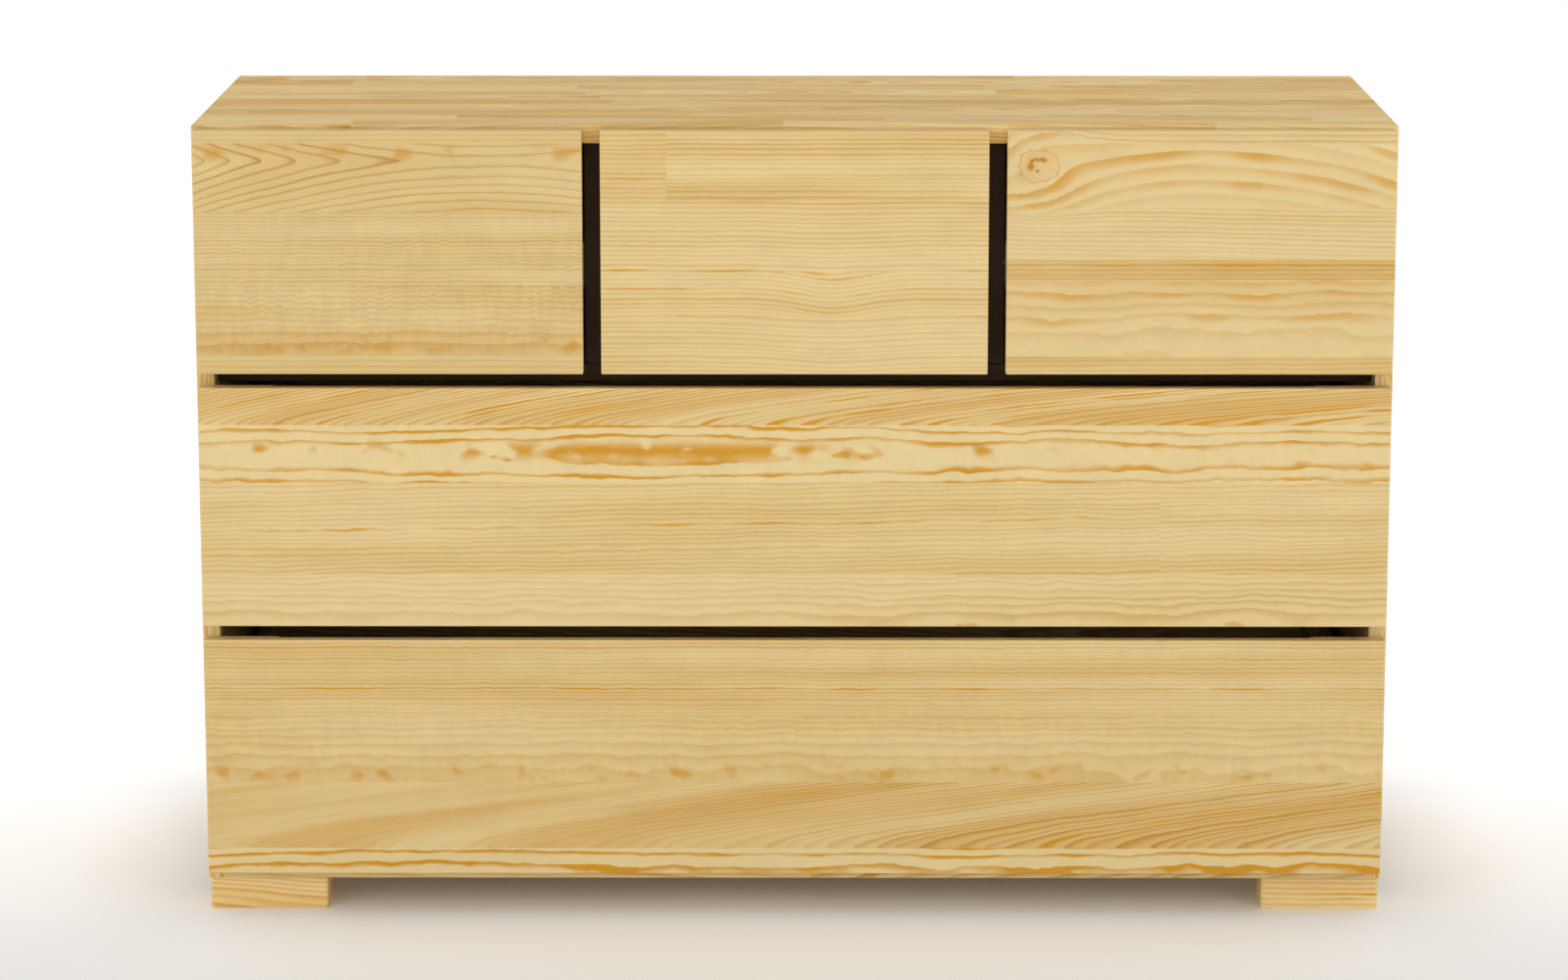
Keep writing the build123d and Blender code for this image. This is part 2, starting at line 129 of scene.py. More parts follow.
def hashed(place):
    """Three random values from 0 to 1, the same all over one whole-numbered place."""
    node = place.tree.nodes.new("ShaderNodeTexWhiteNoise")
    node.noise_dimensions = "3D"
    plug(place.tree, node.inputs["Vector"], place)
    parts = place.tree.nodes.new("ShaderNodeSeparateXYZ")
    place.tree.links.new(node.outputs["Color"], parts.inputs[0])
    return [Term(place.tree, out) for out in parts.outputs]


# Where a Mix node keeps its factor and its two colours, and the mixed colour
MIX_FACTOR, MIX_FIRST, MIX_SECOND, MIX_RESULT = 0, 6, 7, 2


def blend_colours(factor, first, second):
    """Two colours, mixed by a factor term."""
    node = factor.tree.nodes.new("ShaderNodeMix")
    node.data_type = "RGBA"
    plug(factor.tree, node.inputs[MIX_FACTOR], factor)
    plug(factor.tree, node.inputs[MIX_FIRST], first)
    plug(factor.tree, node.inputs[MIX_SECOND], second)
    return Term(factor.tree, node.outputs[MIX_RESULT])


def scaled(colour, factor):
    """A colour made brighter or darker by a factor."""
    node = factor.tree.nodes.new("ShaderNodeVectorMath")
    node.operation = "SCALE"
    plug(factor.tree, node.inputs[0], colour)
    plug(factor.tree, node.inputs["Scale"], factor)
    return Term(factor.tree, node.outputs[0])


def linear(red, green, blue):
    """A colour given as it looks on a screen, 0 to 255, as shader values."""
    def one(value):
        value = value / 255
        return value / 12.92 if value <= 0.04045 else ((value + 0.055) / 1.055) ** 2.4
    return (one(red), one(green), one(blue), 1.0)


# ---------------------------------------------------------------- pine

PINE_CREAM = linear(226, 203, 148)
PINE_HONEY = linear(214, 176, 107)
PINE_TAN = linear(184, 140, 62)
PINE_ORANGE = linear(205, 146, 32)
PINE_KNOT = linear(188, 130, 46)
PINE_HEART = linear(230, 192, 134)
PINE_PITH = linear(104, 62, 34)

# What sets one strip of pine apart from the next. Lengths are in millimetres.
STRIP = {
    "pith": 0.0,        # where the tree's centre lies across the strip
    "deep": 30.0,       # how far it lies behind the face
    "taper": 0.0,       # how fast the rings close along the strip
    "fade": 0.0,        # how fast that taper dies out along the strip
    "ring": 4.0,        # width of one year's ring
    "tilt": 0.0,        # slant of the grain
    "wave": 2.0,        # how far the rings wander across the strip
    "ripple": 0.3,      # short ripples in the rings
    "swell": 0.0,       # how far the rings come up to the face at the bulge
    "bulge": 0.0,       # where along the strip that is
    "reach": 180.0,     # how far along the bulge reaches
    "onset": -2000.0,   # where along the strip the rings begin to show
    "line": 0.75,       # share of a ring that is late wood
    "vein": 0.05,       # share of the rings that are resinous
    "resin": 0.75,      # how strongly those show
    "orange": 0.25,     # how orange the late wood is
    "contrast": 0.7,    # how strongly the rings show
    "warm": 0.5,        # how much honey there is in the early wood
    "blot": -1000.0,    # where across the strip a row of resin blots lies
    "blot_size": 1.0,   # how large they are
    "gather": 0.0,      # how closely they gather at the bulge
    "joint": 9000.0,    # where along the strip it is finger-jointed
    "tint": 1.0,        # brightness of the strip
}


def bell(offset):
    """1 where the term is 0, falling off to 0 within about 2 either way."""
    return (offset * offset * -1).math("EXPONENT")


# Cells of the noise in the figure, in millimetres: along the grain, and across it and in depth
LONG_WAVE = (120, 50)
DEEP_WAVE = (90, 60)
SHORT_WAVE = (10, 24)
GUST = (50, 60)         # where the short ripples come and go
BLOT = (16, 13)
FIBRE = (45, 0.9)
CLOUD = (60, 28)
CURL = (9, 34)
PATCH = 90              # along one ring, between its stronger and weaker parts
BAND = (700, 6)         # along the grain, and how many rings a darker or paler band takes in

UNEVEN = 6.0            # how unevenly wide the rings are, in millimetres
UNEVEN_RINGS = 3        # over how many rings that changes
LATE_PEAK = 0.94        # where in a year's ring the late wood is darkest, just before it ends
BLOT_SPREAD = 8.0       # half the height of a row of blots
BLOT_EDGE = (0.54, 0.68)
ONSET_SPREAD = 300.0    # half the length over which the rings begin to show
SEED_STEP = 37.0        # how far apart in the noise two seeds lie
JOINT_STEP = 11.0       # how far the noise moves on at a finger joint
JOINT_RINGS = 13.0      # how many rings the figure moves on there


def figure_group():
    """Growth rings of one strip: rings about a tapering, wavy centre line, cut by the surface."""
    tree = bpy.data.node_groups.new("pine_figure", "ShaderNodeTree")
    for name in ("along", "across", "depth", "seed", *STRIP):
        tree.interface.new_socket(name, in_out="INPUT", socket_type="NodeSocketFloat")
    for name, kind in (("colour", "Color"), ("late", "Float"), ("fibre", "Float")):
        tree.interface.new_socket(name, in_out="OUTPUT", socket_type="NodeSocket" + kind)
    given = tree.nodes.new("NodeGroupInput")
    get = {out.name: Term(tree, out) for out in given.outputs if out.name}
    along, across, depth, seed = (get[n] for n in ("along", "across", "depth", "seed"))
    beyond = along.above(get["joint"])
    shift = seed * SEED_STEP + beyond * JOINT_STEP
    near_bulge = bell((along - get["bulge"]) / get["reach"])

    def grain_noise(cell, detail, roughness=0.5, offset=0.0):
        """Noise in cells of one size along the grain and another across it and in depth."""
        place = vector(along / cell[0] + shift, across / cell[1] + offset, depth / cell[1])
        return noise(place, detail, roughness)

    def ring_years():
        """The age of the wood at a place, in rings out from the pith."""
        long_wave = grain_noise(LONG_WAVE, 3.0, 0.6) - 0.5
        deep_wave = grain_noise(DEEP_WAVE, 3.0, 0.6, 40.0) - 0.5
        short_wave = grain_noise(SHORT_WAVE, 1.0) - 0.5
        gust = grain_noise(GUST, 0.0).rise(0.4, 0.65)
        u = across - get["pith"] - get["tilt"] * along + long_wave * 3 * get["wave"]
        u = u + short_wave * 3 * get["ripple"] * (gust + 0.25)
        v = depth + get["deep"] + deep_wave * 2 * get["wave"]
        pull = get["taper"] * along * (along * get["fade"] * -0.5 + 1.0)
        lift = get["swell"] * near_bulge
        distance = (u * u + v * v).math("SQRT") + pull - lift
        years = distance / get["ring"] + beyond * JOINT_RINGS
        uneven = noise(vector(years / UNEVEN_RINGS, shift, 0.0), 0.0) - 0.5
        return years + uneven * UNEVEN / get["ring"]

    def late_wood(years):
        """How much late wood there is at a place, and how resinous its ring is."""
        phase = years.fraction()
        random = hashed(vector(years.floor(), seed, 0.0))
        patchy = noise(vector(along / PATCH + shift, years.floor() * 5, 0.0), 2.0)
        vein = (random[1] + get["vein"]).above(1.0) * patchy.rise(0.42, 0.62)
        start = (get["line"] * (patchy * 1.5 + 0.25)) * -1 + 1
        late = phase.rise(start, LATE_PEAK) * (phase.rise(LATE_PEAK, 1.0) * -1 + 1)
        return late * (random[0] * 0.5 + 0.5), vein

    def resin_blots():
        """Irregular blots in a row, which gather where the strip bulges."""
        size = get["blot_size"]
        place = vector(along / BLOT[0] / size + shift, across / BLOT[1] / size, depth / BLOT[1])
        spots = noise(place, 1.0) + (near_bulge - 0.35) * get["gather"]
        return spots.rise(*BLOT_EDGE) * bell((across - get["blot"]) / BLOT_SPREAD)

    def brightness(fibre):
        """Fine fibres, clouds and curl that make a board brighter and darker."""
        cloud = grain_noise(CLOUD, 2.0)
        curl = grain_noise(CURL, 1.0)
        shade = (fibre - 0.5) * 0.12 + (cloud - 0.5) * 0.12
        return shade + (curl - 0.5) * 0.09 * get["ripple"] + get["tint"]

    def ring_strength(late, vein, band):
        """How strongly the rings show: more in darker bands, and where resin gathers at a bulge."""
        strength = late * get["contrast"] * (band * 0.7 + 0.65)
        strength = strength + late.rise(0.0, 0.55) * vein * get["resin"]
        strength = strength * ((near_bulge - 1) * get["gather"] * 1.5 + 1.0)
        begun = (along - get["onset"]).rise(-ONSET_SPREAD, ONSET_SPREAD) * 0.8 + 0.2
        return (strength * begun).least(1.0)

    years = ring_years()
    late, vein = late_wood(years)
    fibre = grain_noise(FIBRE, 2.0, 0.6)
    band = noise(vector(years / BAND[1] + 7.0, shift, along / BAND[0]), 1.0).rise(0.3, 0.7)
    early = blend_colours((band * 0.8 + 0.2) * get["warm"], PINE_CREAM, PINE_HONEY)
    ink = blend_colours((vein + get["orange"]).least(1.0), PINE_TAN, PINE_ORANGE)
    colour = blend_colours(ring_strength(late, vein, band), early, ink)
    blots = resin_blots() * (get["gather"] + 0.7).least(1.0)
    colour = blend_colours(blots, colour, PINE_ORANGE)
    done = tree.nodes.new("NodeGroupOutput")
    plug(tree, done.inputs["colour"], scaled(colour, brightness(fibre)))
    plug(tree, done.inputs["late"], late)
    plug(tree, done.inputs["fibre"], fibre)
    return tree


FIGURE = figure_group()


def figured(tree, along, across, depth, seed, strip):
    """The pine figure at a place, for one strip's values, which are numbers or terms."""
    node = tree.nodes.new("ShaderNodeGroup")
    node.node_tree = FIGURE
    places = {"along": along, "across": across, "depth": depth, "seed": seed}
    for name, value in {**STRIP, **strip, **places}.items():
        plug(tree, node.inputs[name], value)
    return [Term(tree, node.outputs[name]) for name in ("colour", "late", "fibre")]


def stacked(height, strips):
    """The value of each property at a height, from a list of (top of the strip, changes)."""
    steps = [height.above(top) for top, _ in strips[:-1]]
    values = {}
    for name in STRIP:
        each = [changes.get(name, STRIP[name]) for _, changes in strips]
        value = each[0]
        for step, before, after in zip(steps, each, each[1:]):
            if after != before:
                value = step * (after - before) + value
        values[name] = value
    return values


STAVE_STAGGER = 7       # how many stave lengths the rows' joints are shifted by, at most
STAVE_SHIFT = 900       # how far apart along their trees the staves are cut, at most
STAVE_VEIN = 0.12       # share of its rings that are resinous


def staves(along, across, width, length, seed, warmth):
    """Edge-glued, finger-jointed staves: each has its own place in the tree and its own tone."""
    lane = (across / width).floor()
    stagger = hashed(vector(lane, seed, 0.5))[0]
    count = (along / length + stagger * STAVE_STAGGER).floor()
    first = hashed(vector(lane, count, seed))
    second = hashed(vector(lane, count, seed + 0.5))
    # A random value from 0 to 1, and what it stands for at 0 and at 1
    draws = {
        "pith": (first[1], -40.0, 40.0),
        "deep": (first[2], 6.0, 46.0),
        "taper": (second[1], -0.08, 0.08),
        "ring": (second[2], 3.0, 5.2),
        "tilt": (first[2], -0.015, 0.015),
        "orange": (second[0].power(2.0), 0.1, 0.8),
        "warm": (second[2], warmth, warmth + 0.8),
        "contrast": (first[1], 0.5, 0.9),
        "tint": (second[1], 0.95, 1.05),
    }
    values = {name: draw * (high - low) + low for name, (draw, low, high) in draws.items()}
    centre = (lane + 0.5) * width
    return along + first[0] * STAVE_SHIFT, across - centre, {**values, "vein": STAVE_VEIN}


# ---------------------------------------------------------------- materials

def new_material(name):
    """An empty material with its tree, its shader and the place on the object in millimetres."""
    material = bpy.data.materials.new(name)
    material.use_nodes = True
    tree = material.node_tree
    shader = tree.nodes["Principled BSDF"]
    place = tree.nodes.new("ShaderNodeTexCoord").outputs["Object"]
    parts = tree.nodes.new("ShaderNodeSeparateXYZ")
    tree.links.new(place, parts.inputs[0])
    x, y, z = (Term(tree, out) * MM for out in parts.outputs)
    return material, tree, shader, {"x": x, "y": y, "z": z}


def set_bump(tree, shader, height, distance):
    """Relief from a height term, in metres at most distance high."""
    bump = tree.nodes.new("ShaderNodeBump")
    bump.inputs["Distance"].default_value = distance
    bump.inputs["Strength"].default_value = 1.0
    plug(tree, bump.inputs["Height"], height)
    tree.links.new(bump.outputs["Normal"], shader.inputs["Normal"])


def mottled(place, cell, detail=2.0, roughness=0.5):
    """Noise on the object, in cells of a size in millimetres along x, y and z."""
    terms = (place[axis] / size for axis, size in zip("xyz", cell))
    return noise(vector(*terms), detail, roughness)


EDGE_BAND = (0.4, 2.6)      # millimetres from an edge over which its wear fades out
WEAR_PATCH = (9, 9, 9)


def edge_wear(place, low, high):
    """1 along a board's edges, fading out within a few millimetres, broken up by noise."""
    near = []
    for axis, start, end in zip("xyz", low, high):
        near.append((place[axis] - start * MM).least(place[axis] * -1 + end * MM))
    # Two faces meet at an edge, so the second smallest distance to a face tells how far off it is
    largest = near[0].most(near[1]).most(near[2])
    smallest = near[0].least(near[1]).least(near[2])
    second = near[0] + near[1] + near[2] - largest - smallest
    patchy = mottled(place, WEAR_PATCH)
    return (second.rise(*EDGE_BAND) * -1 + 1) * (patchy * 0.7 + 0.3)


# The axis along the grain, the one across it in the face, and the one into the board
AXES = {
    "along_x_face_y": ("x", "z", "y"),
    "along_x_face_z": ("x", "y", "z"),
    "along_y_face_x": ("y", "z", "x"),
    "along_z_face_x": ("z", "y", "x"),
}


def grained(place, low, grain):
    """Terms along the grain, across it in the face, and into the board, from its low corner."""
    named = dict(zip("xyz", low))
    return [place[axis] - named[axis] * MM for axis in AXES[grain]]


# The surface of pine, sanded and lacquered
ROUGHNESS = (0.56, 0.40)
SPECULAR = (0.06, 0.22)
COAT = (0.0, 0.03)
RELIEF = (0.00025, 0.00015)     # metres
COAT_ROUGHNESS = 0.3
EDGE_BRIGHTER = 0.07            # how much brighter a worn edge is


def between(pair, share):
    """The value at a share of the way between a pair of values."""
    return pair[0] + (pair[1] - pair[0]) * share


def finish_wood(tree, shader, colour, late, fibre, wear, gloss, tone=1.0):
    """Colour, surface and relief of a wooden board. Gloss is 0 for sanded and 1 for lacquered."""
    worn = scaled(colour, wear * EDGE_BRIGHTER + tone)
    plug(tree, shader.inputs["Base Color"], worn)
    roughness = late * -0.06 + (fibre - 0.5) * 0.12 + between(ROUGHNESS, gloss)
    plug(tree, shader.inputs["Roughness"], roughness)
    shader.inputs["Specular IOR Level"].default_value = between(SPECULAR, gloss)
    shader.inputs["Coat Weight"].default_value = between(COAT, gloss)
    shader.inputs["Coat Roughness"].default_value = COAT_ROUGHNESS
    set_bump(tree, shader, late * 0.6 + fibre * 0.5, between(RELIEF, gloss))


# Painted shade: boards that lie back in the gaps between the fronts get their front edges darkened
# to the dark brown of the shade in those gaps
GAP_SHADE_COLOUR = linear(72, 54, 34)
PAINTED_SHADE_DEPTH = 14        # how far back from its front edge a board is darkened with painted shade
PAINTED_SHADE_FADE = 4          # the length over which the painted shade ends


def wood(node, grain, gloss, seed, width=46, length=620, strips=None, knot=None, painted_gap_shade=False,
         tone=1.0, warmth=0.1):
    """A pine material for one CAD board, of listed strips, or of staves of a width and length.

    A knot is given by its place along and across the board and its radius.
    """
    low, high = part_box(node)
    material, tree, shader, place = new_material("pine_" + node)
    along, across, depth = grained(place, low, grain)
    if knot:
        across, heart, marks, pith = knotted(along, across, depth, *knot)
    if strips:
        values = stacked(across, strips)
    else:
        along, across, values = staves(along, across, width, length, seed, warmth)
    colour, late, fibre = figured(tree, along, across, depth, float(seed), values)
    if knot:
        colour = blend_colours(heart, colour, PINE_HEART)
        colour = blend_colours(marks, colour, PINE_KNOT)
        colour = blend_colours(pith, colour, PINE_PITH)
    # Painted shade: the front edge of a board set back in a gap is darkened as the gap's shade
    # would darken it
    if painted_gap_shade:
        back_from_edge = place["y"] - low.y * MM
        edge = back_from_edge.rise(PAINTED_SHADE_DEPTH, PAINTED_SHADE_DEPTH + PAINTED_SHADE_FADE) * -1 + 1
        colour = blend_colours(edge, colour, GAP_SHADE_COLOUR)
    finish_wood(tree, shader, colour, late, fibre, edge_wear(place, low, high), gloss, tone)
    return material


def dress(node, material):
    """Gives a CAD node one material."""
    mesh = nodes[node].data
    mesh.materials.clear()
    mesh.materials.append(material)


KNOT_RING = 2.6         # width of a ring in a knot
KNOT_PATCH = 9          # cell of the noise that makes a knot uneven
KNOT_STRETCH = 1.5      # how much longer than high it is, squared


def knotted(along, across, depth, knot_along, knot_across, radius):
    """The place across the grain, bent round a knot, and how its heart, marks and pith show."""
    off_along = along - knot_along
    off_across = across - knot_across
    wobble = noise(vector(*(term / KNOT_PATCH for term in (along, across, depth))), 2.0) - 0.5
    distance = (off_along * off_along / KNOT_STRETCH + off_across * off_across).math("SQRT")
    distance = distance + wobble * radius * 0.7
    bent = across + off_across * bell(distance / (radius * 2.4)) * -0.95
    heart = distance.rise(radius * 0.95, radius * 1.15) * -1 + 1
    rings = (distance / KNOT_RING).fraction().power(2.0) * 0.25
    rim = bell((distance - radius * 1.05) / 0.9) * 0.45
    upper_left = (off_across - off_along * 0.6).rise(-3.0, 3.0)
    crescent = (bell((distance - radius * 0.45) / 2.2) * upper_left * 1.3).least(1.0)
    marks = (heart * rings).most(rim).most(crescent)
    pith = bell((off_along + radius * 0.1) / 1.6) * bell((off_across + radius * 0.35) / 1.3) * 0.8
    return bent, heart * 0.45, marks, pith


# ---------------------------------------------------------------- drawer fronts

# Strips of each front from the bottom up: (height of the strip's top, what differs from STRIP)
CALM = {"pith": -60, "deep": 20, "ring": 4.8, "wave": 1.4, "contrast": 0.5}
FRONTS = {
    "upper_left": [
        (19, {**CALM, "contrast": 0.35, "warm": 0.6}),
        (90, {**CALM, "pith": 4, "deep": 60, "ring": 4.4, "wave": 3.0, "ripple": 2.2,
              "warm": 0.9, "orange": 0.35, "blot": 30, "blot_size": 1.4}),
        (163, {**CALM, "ring": 4.0, "ripple": 1.4, "contrast": 0.5, "orange": 0.1}),
        (232, {"pith": 214, "deep": 4, "taper": 0.33, "fade": 0.0034, "ring": 8.1, "wave": 2.6,
               "line": 0.4, "vein": 0.12, "resin": 0.5, "orange": 0.1, "contrast": 0.85,
               "warm": 0.7, "blot": 222, "blot_size": 2.4}),
        (245, {**CALM, "contrast": 0.3}),
    ],
    "upper_centre": [
        (58, {**CALM, "swell": -5, "bulge": 232, "reach": 70}),
        (104, {**CALM, "swell": -9, "bulge": 232, "reach": 45, "vein": 0.3, "resin": 0.4,
               "orange": 0.5, "warm": 0.4}),
        (175, {**CALM, "warm": 0.4, "swell": -2, "bulge": 232, "reach": 60}),
        (245, {**CALM, "contrast": 0.55, "warm": 0.7, "resin": 0.4, "joint": 66}),
    ],
    "upper_right": [
        (18, {**CALM, "tilt": 0.01, "contrast": 0.6, "warm": 1.0, "orange": 0.4}),
        (96, {"pith": 12, "deep": 60, "ring": 8.5, "wave": 7.0, "ripple": 0.5, "line": 0.7,
              "orange": 0.5, "vein": 0.6, "resin": 0.3, "contrast": 0.35}),
        (116, {**CALM, "contrast": 0.6, "warm": 1.0, "vein": 0.2, "resin": 0.55}),
        (168, {**CALM, "pith": 10, "tilt": -0.02, "contrast": 0.4, "warm": 0.2}),
        (232, {"pith": 150, "deep": 12, "taper": -0.34, "fade": 0.005, "ring": 14.0, "wave": 3.0,
               "line": 0.8, "vein": 0.8, "resin": 0.38, "orange": 1.0, "contrast": 0.35,
               "warm": 0.2}),
        (245, {**CALM, "contrast": 0.4, "warm": 0.3}),
    ],
    "middle": [
        (54, {"pith": -8, "deep": 50, "ring": 4.6, "wave": 5.0, "contrast": 0.5, "warm": 0.3,
              "vein": 0.15}),
        (148, {**CALM, "ring": 5.0, "wave": 4.0, "ripple": 0.6, "tilt": 0.016, "joint": 965}),
        (207, {"pith": 175, "deep": 19, "ring": 8.0, "wave": 5.5, "ripple": 0.9, "swell": 5.5,
               "bulge": 460, "reach": 240, "line": 0.45, "vein": 1.0, "orange": 1.0,
               "contrast": 1.2, "warm": 0.1, "blot": 181, "blot_size": 2.2, "gather": 0.3}),
        (245, {"pith": 205, "deep": 10, "taper": -0.21, "fade": 0.0006, "ring": 3.1, "wave": 1.4,
               "line": 0.75, "vein": 0.2, "orange": 0.4, "contrast": 0.8, "warm": 1.0}),
    ],
    "lower": [
        (27, {"pith": -2, "deep": 18.5, "ring": 7.0, "wave": 5.0, "swell": 3, "bulge": 200,
              "line": 0.45, "vein": 1.0, "orange": 1.0, "contrast": 1.2, "warm": 0.1}),
        (96, {"pith": 25, "deep": 24, "taper": -0.12, "ring": 3.2, "wave": 2.4, "line": 0.75,
              "vein": 0.1, "orange": 0.3, "contrast": 0.85, "warm": 1.1, "onset": 560}),
        (166, {**CALM, "pith": 98, "deep": 60, "wave": 4.0, "ripple": 1.3, "warm": 0.8,
               "orange": 0.4, "blot": 106, "blot_size": 1.7}),
        (245, {**CALM, "ring": 4.2, "ripple": 0.9, "contrast": 0.6, "warm": 0.7, "vein": 0.12,
               "resin": 0.5}),
    ],
}
# A knot's place along and across its front, and its radius
KNOTS = {"upper_right": (31, 210, 15)}
FRONT_TONES = {"upper_left": 0.92, "upper_centre": 0.97, "upper_right": 0.95, "middle": 0.98,
               "lower": 0.97}

for seed, (drawer, strips) in enumerate(FRONTS.items(), 1):
    front = drawer + "_drawer_front"
    dress(front, wood(front, "along_x_face_y", 1.0, seed, strips=strips, knot=KNOTS.get(drawer),
                      tone=FRONT_TONES[drawer]))


# ---------------------------------------------------------------- carcass and drawer boxes

# Each board's grain and gloss, and what differs from a plain board of staves
END_PANEL = {"width": 43, "length": 520}
CARCASS = {
    "top_panel": ("along_x_face_z", 0.0, {"width": 43, "length": 430, "tone": 1.12, "warmth": 0.5}),
    "bottom_panel": ("along_x_face_z", 0.6, {}),
    "carcass_side_left": ("along_z_face_x", 1.0, END_PANEL),
    "carcass_side_right": ("along_z_face_x", 1.0, END_PANEL),
    # The divider shelf and the partitions get painted shade on their front edges, where they lie
    # back in the gaps
    "divider_shelf": ("along_x_face_z", 0.4, {"painted_gap_shade": True}),
    "partition_left": ("along_y_face_x", 0.4, {"painted_gap_shade": True}),
    "partition_right": ("along_y_face_x", 0.4, {"painted_gap_shade": True}),
}
FEET = ("foot_front_left", "foot_front_right", "foot_rear_left", "foot_rear_right")
FOOT = {"width": 70, "length": 900, "tone": 1.14}
BOX = {"side_left": "along_y_face_x", "side_right": "along_y_face_x", "back": "along_x_face_y"}
BOX_BOARD = {"width": 60, "length": 900}
FEET_GLOSS = 0.8
BOX_GLOSS = 0.2
VENEER_GLOSS = 0.15
CARCASS_SEED = 11
FEET_SEED = 20
BOX_SEED = 30
VENEER_SEED = 51

for seed, (board, (grain, gloss, own)) in enumerate(CARCASS.items(), CARCASS_SEED):
    dress(board, wood(board, grain, gloss, seed, **own))
for seed, foot in enumerate(FEET, FEET_SEED):
    dress(foot, wood(foot, "along_x_face_z", FEET_GLOSS, seed, **FOOT))
box_boards = [(drawer + "_drawer_" + piece, BOX[piece]) for drawer in FRONTS for piece in BOX]
for seed, (board, grain) in enumerate(box_boards, BOX_SEED):
    dress(board, wood(board, grain, BOX_GLOSS, seed, **BOX_BOARD))


# Rotary-cut veneer: rings far out from the pith, nearly level with the face, that run out slowly
VENEER = {"deep": 1200, "ring": 3.2, "wave": 5.0, "ripple": 0.1, "vein": 0.0, "orange": 0.05,
          "contrast": 0.4, "warm": 0.4, "tint": 0.96}
VENEER_SCALE = (1 / 6, 0.6, 0.2)    # of the figure along the grain, across it and in depth
VENEER_LAYER = 1.3                  # thickness of one layer
VENEER_DARKER = 0.16                # how much darker every other layer is


def plywood(node, grain, seed):
    """Veneer with a broad, wandering figure on the faces, and layers on the edges."""
    low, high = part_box(node)
    material, tree, shader, place = new_material("plywood_" + node)
    along, across, depth = grained(place, low, grain)
    middle = (high - low)["xyz".index(AXES[grain][1])] * MM / 2
    centred = (along, across - middle, depth)
    in_figure = [term * scale for term, scale in zip(centred, VENEER_SCALE)]
    colour, late, fibre = figured(tree, *in_figure, float(seed), VENEER)
    layer = ((depth / VENEER_LAYER).floor() / 2).fraction() * 2
    colour = scaled(colour, layer * -VENEER_DARKER + 1.0)
    finish_wood(tree, shader, colour, late, fibre, edge_wear(place, low, high), VENEER_GLOSS)
    return material


dress("back_panel", plywood("back_panel", "along_x_face_y", VENEER_SEED))
for seed, drawer in enumerate(FRONTS, VENEER_SEED + 1):
    sheet = drawer + "_drawer_bottom"
    dress(sheet, plywood(sheet, "along_x_face_z", seed))


# ---------------------------------------------------------------- small parts

# Cells of the noise in millimetres along x, y and z; relief in metres
ZINC_GREY = linear(196, 200, 205)
ZINC_STRAW = linear(206, 200, 182)
ZINC_MARKS = (0.7, 60, 0.7)
ZINC_CLOUD = (14, 30, 14)
ZINC_RELIEF = 0.00006
BEECH_PALE = linear(214, 176, 138)
BEECH_DARK = linear(150, 106, 72)
BEECH_FLECK = (1.1, 1.1, 3)
BEECH_CLOUD = (12, 12, 12)
BEECH_RELIEF = 0.0001


def zinc():
    """Bright zinc plate with drawn-out rolling marks and a faint straw tone in places."""
    material, tree, shader, place = new_material("zinc_plate")
    rolled = mottled(place, ZINC_MARKS, 3.0, 0.6)
    cloud = mottled(place, ZINC_CLOUD)
    tone = blend_colours(cloud.rise(0.4, 0.75) * 0.5, ZINC_GREY, ZINC_STRAW)
    plug(tree, shader.inputs["Base Color"], scaled(tone, (rolled - 0.5) * 0.2 + 1.0))
    plug(tree, shader.inputs["Roughness"], (rolled - 0.5) * 0.2 + cloud * 0.1 + 0.28)
    shader.inputs["Metallic"].default_value = 1.0
    set_bump(tree, shader, rolled, ZINC_RELIEF)
    return material


def beech():
    """Plain beech with its short dark flecks, for the dowels."""
    material, tree, shader, place = new_material("beech")
    fleck = mottled(place, BEECH_FLECK, roughness=0.7)
    cloud = mottled(place, BEECH_CLOUD)
    colour = blend_colours(fleck.rise(0.6, 0.75) * 0.5, BEECH_PALE, BEECH_DARK)
    plug(tree, shader.inputs["Base Color"], scaled(colour, (cloud - 0.5) * 0.15 + 1.0))
    plug(tree, shader.inputs["Roughness"], fleck * 0.2 + 0.5)
    set_bump(tree, shader, fleck, BEECH_RELIEF)
    return material


zinc_plate = zinc()
for node in nodes:
    if "_runner_" in node or node.endswith("_screws"):
        dress(node, zinc_plate)
dress("carcass_dowels", beech())


# ---------------------------------------------------------------- studio

# Lengths in metres, power in watts, angles in degrees
FLOOR_REACH = 30.0
FLOOR_COLOUR = linear(250, 250, 250)[:3]
FLOOR_ROUGHNESS = 0.75
FLOOR_SPECULAR = 0.1
FLOOR_GRAIN = 4                 # millimetres
FLOOR_GLOW = 0.3
GLOW_BEHIND = (-0.6, 0.35)      # from front to back, where the glow behind the object sets in
GLOW_CLEAR = (-0.05, 0.2)       # how far off the object that glow sets in
GLOW_FAR = (0.3, 1.6)           # how far off the object the glow all round sets in
SKY_HORIZON = 1.0
SKY_OVERHEAD = 0.75
SKY_RISE = (0.12, 0.45)         # where one turns into the other, as sines of the elevation
LIGHT_PLACES = {"left_light": (-3.2, -4.2, 2.2), "right_light": (3.2, -4.2, 2.2)}
LIGHT_TARGET = (0.0, 0.0, 0.4)
LIGHT_SIZE = 2.0
LIGHT_POWER = 29
SENSOR_WIDTH = 36.0             # millimetres, as is the lens
LENS = 111.5
CAMERA_PLACE = (0.0046, -5.002, 1.415)
CAMERA_DOWN = 11.48
CAMERA_TURN = 0.18
WHITE = (1.0, 1.0, 1.0, 1.0)


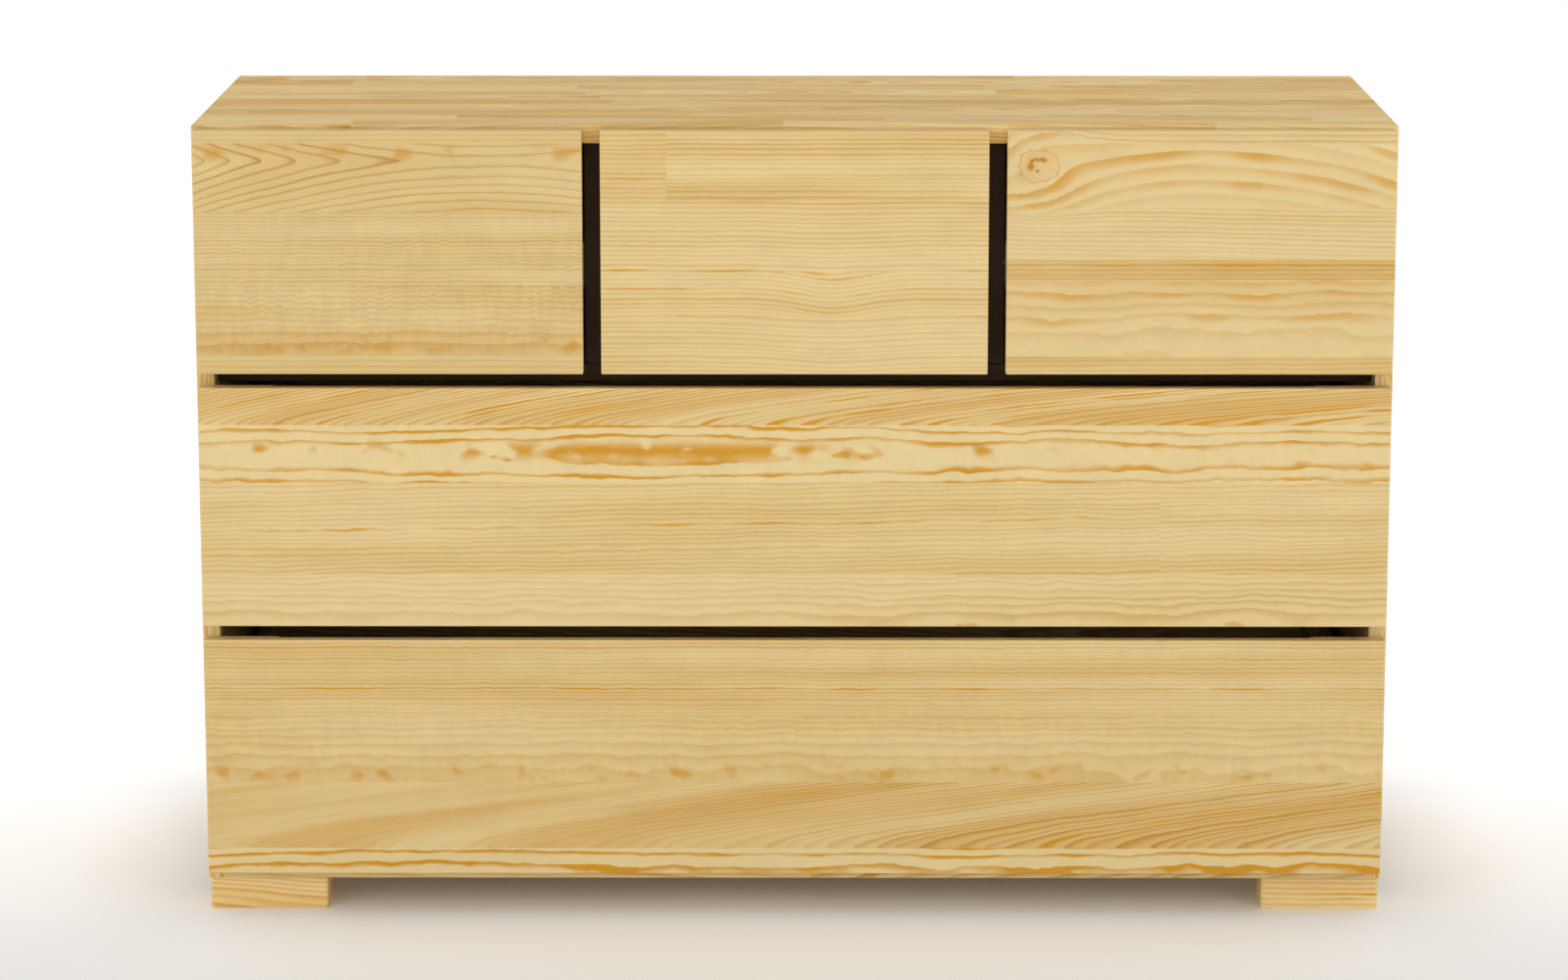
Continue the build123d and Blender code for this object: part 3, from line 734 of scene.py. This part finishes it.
def floor():
    """A wide pale floor that glows behind the object and further off, as a lit white cove does."""
    mesh = bpy.data.meshes.new("studio_floor")
    signs = ((-1, -1), (1, -1), (1, 1), (-1, 1))
    corners = [(x * FLOOR_REACH, y * FLOOR_REACH, 0) for x, y in signs]
    mesh.from_pydata(corners, [], [(0, 1, 2, 3)])
    plane = bpy.data.objects.new("studio_floor", mesh)
    bpy.context.scene.collection.objects.link(plane)
    material, tree, shader, place = new_material("studio_floor")
    low, high = cad_box
    past_side = (place["x"].math("ABSOLUTE") / MM - high[0]).most(0.0)
    past_back = (place["y"].math("ABSOLUTE") / MM - high[1]).most(0.0)
    away = (past_side * past_side + past_back * past_back).math("SQRT")
    behind = (place["y"] / MM).rise(*GLOW_BEHIND) * away.rise(*GLOW_CLEAR)
    glow = behind.most(away.rise(*GLOW_FAR)) * FLOOR_GLOW
    grain = noise(vector(place["x"] / FLOOR_GRAIN, place["y"] / FLOOR_GRAIN, 0.0), 2.0)
    plug(tree, shader.inputs["Base Color"], scaled(FLOOR_COLOUR, (grain - 0.5) * 0.01 + 1.0))
    shader.inputs["Emission Color"].default_value = WHITE
    plug(tree, shader.inputs["Emission Strength"], glow)
    shader.inputs["Roughness"].default_value = FLOOR_ROUGHNESS
    shader.inputs["Specular IOR Level"].default_value = FLOOR_SPECULAR
    mesh.materials.append(material)


def area_light(name, place):
    """A large soft square light at a place, aimed at the object."""
    light = bpy.data.lights.new(name, "AREA")
    light.shape = "RECTANGLE"
    light.size = light.size_y = LIGHT_SIZE
    light.energy = LIGHT_POWER
    lamp = bpy.data.objects.new(name, light)
    lamp.location = place
    aim = Vector(LIGHT_TARGET) - Vector(place)
    lamp.rotation_euler = aim.to_track_quat("-Z", "Y").to_euler()
    bpy.context.scene.collection.objects.link(lamp)


def sky():
    """Soft white light from all round, brightest low down as inside a white cove."""
    world = bpy.data.worlds.new("studio")
    world.use_nodes = True
    tree = world.node_tree
    parts = tree.nodes.new("ShaderNodeSeparateXYZ")
    direction = tree.nodes.new("ShaderNodeTexCoord").outputs["Generated"]
    tree.links.new(direction, parts.inputs[0])
    upward = Term(tree, parts.outputs["Z"]).rise(*SKY_RISE)
    background = tree.nodes["Background"]
    background.inputs["Color"].default_value = WHITE
    strength = upward * (SKY_OVERHEAD - SKY_HORIZON) + SKY_HORIZON
    plug(tree, background.inputs["Strength"], strength)
    bpy.context.scene.world = world


def camera():
    """A long lens, slightly above the dresser, square to its front."""
    data = bpy.data.cameras.new("camera")
    data.sensor_width = SENSOR_WIDTH
    data.lens = LENS
    view = bpy.data.objects.new("camera", data)
    view.location = CAMERA_PLACE
    view.rotation_euler = (math.radians(90 - CAMERA_DOWN), 0.0, math.radians(CAMERA_TURN))
    bpy.context.scene.collection.objects.link(view)
    bpy.context.scene.camera = view


floor()
sky()
for lamp_name, lamp_place in LIGHT_PLACES.items():
    area_light(lamp_name, lamp_place)
camera()
bpy.context.scene.view_settings.view_transform = "Standard"
